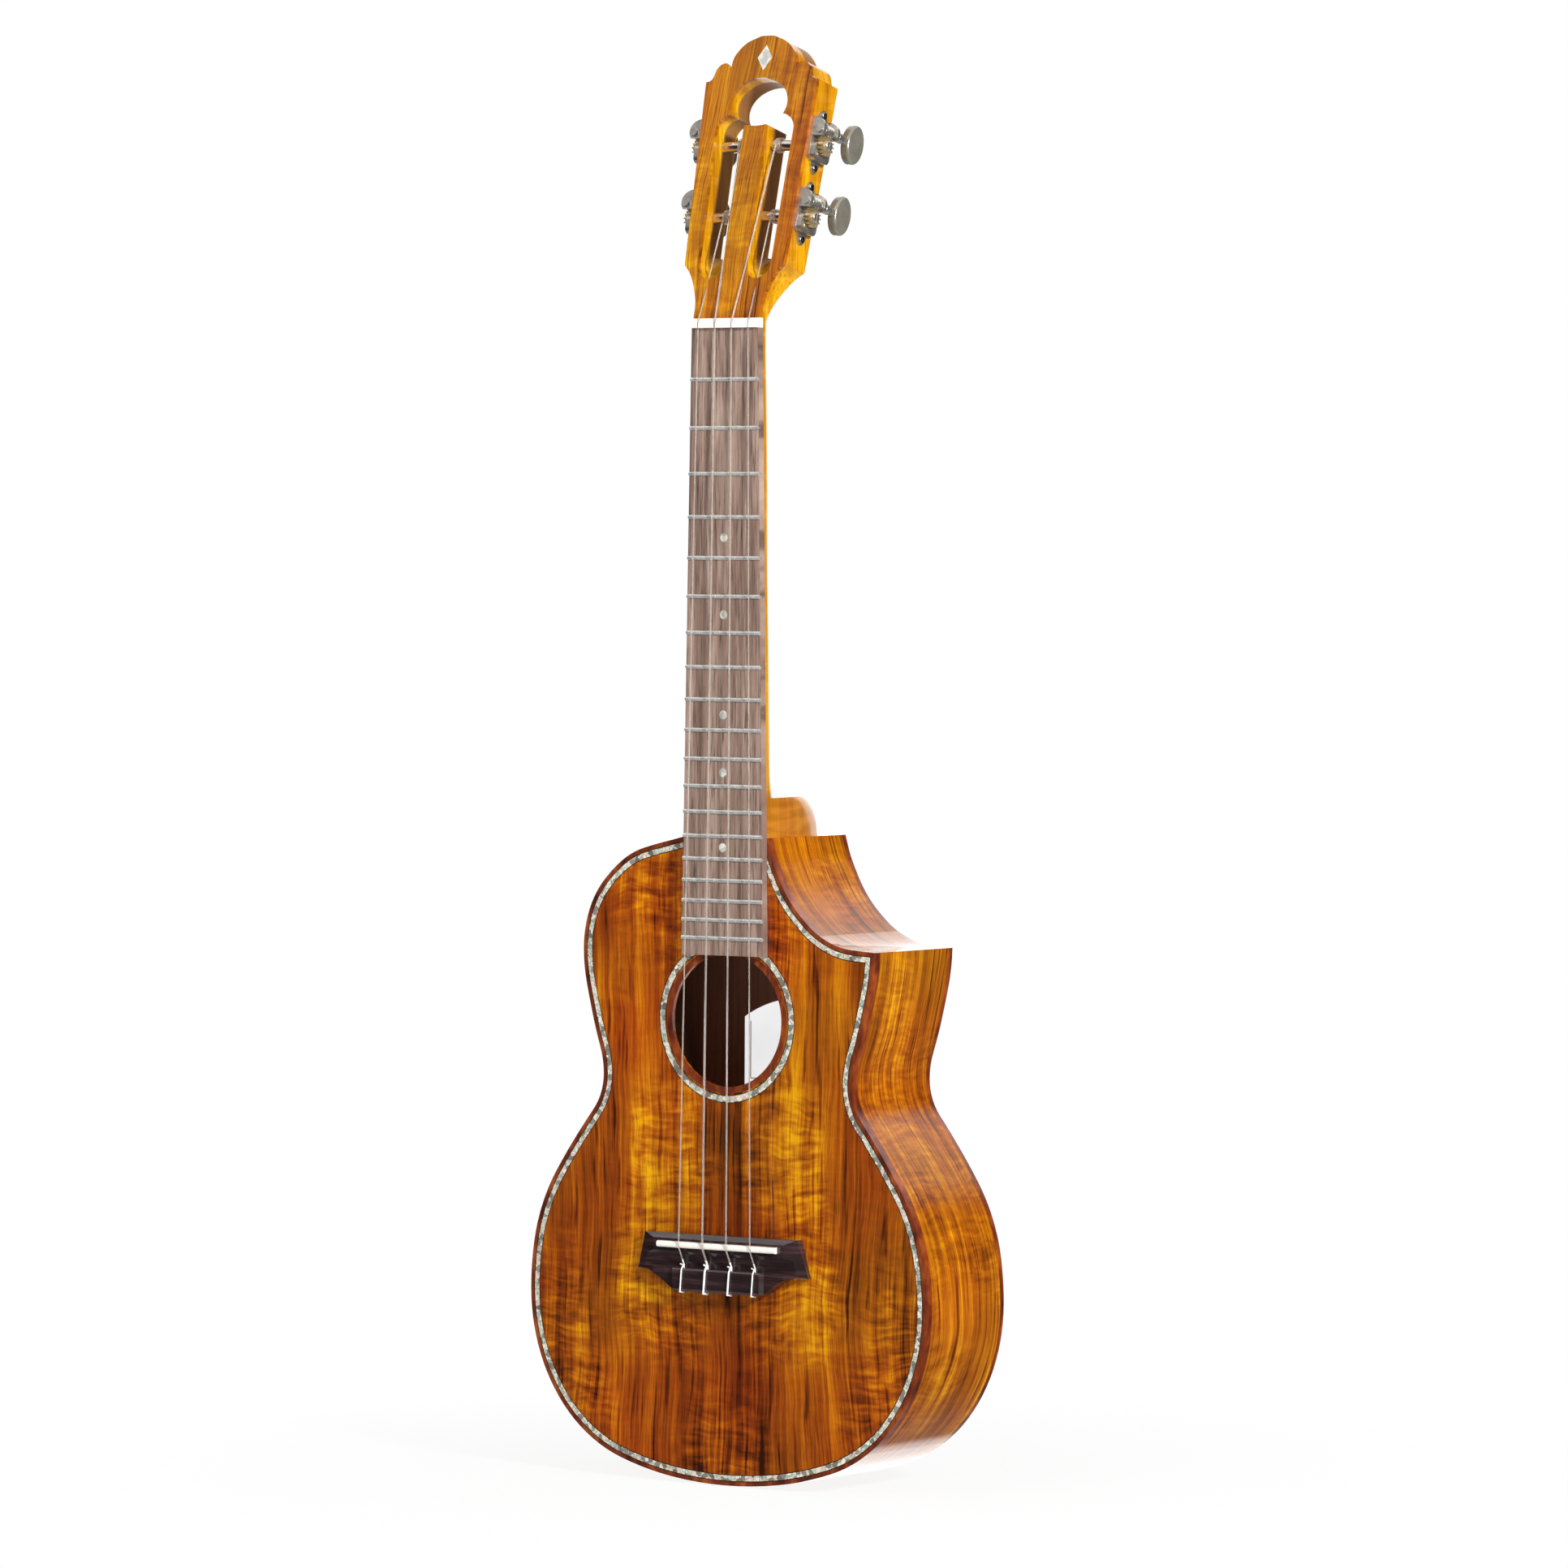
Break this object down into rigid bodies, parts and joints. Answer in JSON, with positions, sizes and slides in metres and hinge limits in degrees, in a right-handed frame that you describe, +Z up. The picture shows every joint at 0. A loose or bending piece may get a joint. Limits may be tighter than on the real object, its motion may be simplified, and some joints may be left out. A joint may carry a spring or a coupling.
{
  "type": "tenor ukulele",
  "caption": "Tenor cutaway ukulele in striped glossy koa with a slotted headstock, geared side tuners, shell-trimmed edge and rosette, bone nut and saddle, and a tie bridge.",
  "frame": {"origin": "outer face of the back, on the centre line, level with the saddle", "axes": "+X to the treble side (the cutaway side), +Y towards the back so the strings face -Y, +Z up along the neck"},
  "size_m": [0.2288, 0.0755, 0.6858],
  "materials": {
    "koa_top": "high gloss lacquer, striped and curled grain",
    "koa_body": "high gloss lacquer, striped grain",
    "koa_head": "gloss lacquer",
    "neck_wood": "gloss lacquer",
    "redwood_trim": "gloss lacquer",
    "shell": "polished iridescent shell",
    "black_line": "satin",
    "inner_wood": "bare sanded",
    "label_paper": "matt",
    "bolt_steel": "plated",
    "fingerboard_rosewood": "oiled, fine open grain",
    "bridge_rosewood": "oiled",
    "fret_wire": "polished",
    "bone": "polished",
    "nylon": "translucent gloss",
    "nickel": "satin nickel",
    "post_metal": "polished",
    "gear_brass": "satin",
    "button_grey": "smooth pearl grey"
  },
  "bodies": {
    "instrument": {"soundboard_bass_half": "koa_top", "soundboard_treble_half": "koa_top", "back_bass_half": "koa_body", "back_treble_half": "koa_body", "side_bass": "koa_body", "side_treble": "koa_body", "side_cutaway": "koa_body", "top_binding": "redwood_trim", "back_binding": "redwood_trim", "top_purfling": "shell", "black_lines": "black_line", "rosette": "shell", "soundhole_ring": "redwood_trim", "neck_block": "inner_wood", "tail_block": "inner_wood", "linings": "inner_wood", "soundboard_braces": "inner_wood", "back_braces": "inner_wood", "soundhole_label": "label_paper", "neck": "neck_wood", "headstock_veneer": "koa_head", "headstock_inlay": "shell", "heel_cap": "redwood_trim", "neck_bolt": "bolt_steel", "fingerboard": "fingerboard_rosewood", "frets": "fret_wire", "position_markers": "shell", "nut": "bone", "bridge": "bridge_rosewood", "saddle": "bone", "string_g": "nylon", "string_c": "nylon", "string_e": "nylon", "string_a": "nylon", "tuner_plates": "nickel", "tuner_screws": "bolt_steel"},
    "knob_g": {"worm_shaft_g": "nickel", "button_g": "button_grey"},
    "roller_g": {"post_g": "post_metal", "string_winding_g": "nylon", "gear_g": "gear_brass", "gear_screw_g": "nickel"},
    "knob_c": {"worm_shaft_c": "nickel", "button_c": "button_grey"},
    "roller_c": {"post_c": "post_metal", "string_winding_c": "nylon", "gear_c": "gear_brass", "gear_screw_c": "nickel"},
    "knob_e": {"worm_shaft_e": "nickel", "button_e": "button_grey"},
    "roller_e": {"post_e": "post_metal", "string_winding_e": "nylon", "gear_e": "gear_brass", "gear_screw_e": "nickel"},
    "knob_a": {"worm_shaft_a": "nickel", "button_a": "button_grey"},
    "roller_a": {"post_a": "post_metal", "string_winding_a": "nylon", "gear_a": "gear_brass", "gear_screw_a": "nickel"}
  },
  "joints": [
    {"name": "knob_turn_g", "type": "hinge", "parent": "instrument", "child": "knob_g", "pos_m": [-0.03476, -0.04609, 0.49021], "axis": [0, -0.9703, 0.2419], "continuous": true},
    {"name": "roller_turn_g", "type": "hinge", "parent": "instrument", "child": "roller_g", "pos_m": [-0.0296, -0.04767, 0.48387], "axis": [-0.9992, -0.0096, -0.0386], "continuous": true},
    {"name": "knob_turn_c", "type": "hinge", "parent": "instrument", "child": "knob_c", "pos_m": [-0.03615, -0.03767, 0.52398], "axis": [0, -0.9703, 0.2419], "continuous": true},
    {"name": "roller_turn_c", "type": "hinge", "parent": "instrument", "child": "roller_c", "pos_m": [-0.03098, -0.03925, 0.51763], "axis": [-0.9992, -0.0096, -0.0386], "continuous": true},
    {"name": "knob_turn_e", "type": "hinge", "parent": "instrument", "child": "knob_e", "pos_m": [0.03615, -0.03767, 0.52398], "axis": [0, -0.9703, 0.2419], "continuous": true},
    {"name": "roller_turn_e", "type": "hinge", "parent": "instrument", "child": "roller_e", "pos_m": [0.03098, -0.03925, 0.51763], "axis": [0.9992, -0.0096, -0.0386], "continuous": true},
    {"name": "knob_turn_a", "type": "hinge", "parent": "instrument", "child": "knob_a", "pos_m": [0.03476, -0.04609, 0.49021], "axis": [0, -0.9703, 0.2419], "continuous": true},
    {"name": "roller_turn_a", "type": "hinge", "parent": "instrument", "child": "roller_a", "pos_m": [0.0296, -0.04767, 0.48387], "axis": [0.9992, -0.0096, -0.0386], "continuous": true}
  ],
  "couplings": [
    {"joint": "roller_turn_g", "follows": "knob_turn_g", "ratio": -0.071429},
    {"joint": "roller_turn_c", "follows": "knob_turn_c", "ratio": -0.071429},
    {"joint": "roller_turn_e", "follows": "knob_turn_e", "ratio": -0.071429},
    {"joint": "roller_turn_a", "follows": "knob_turn_a", "ratio": -0.071429}
  ]
}
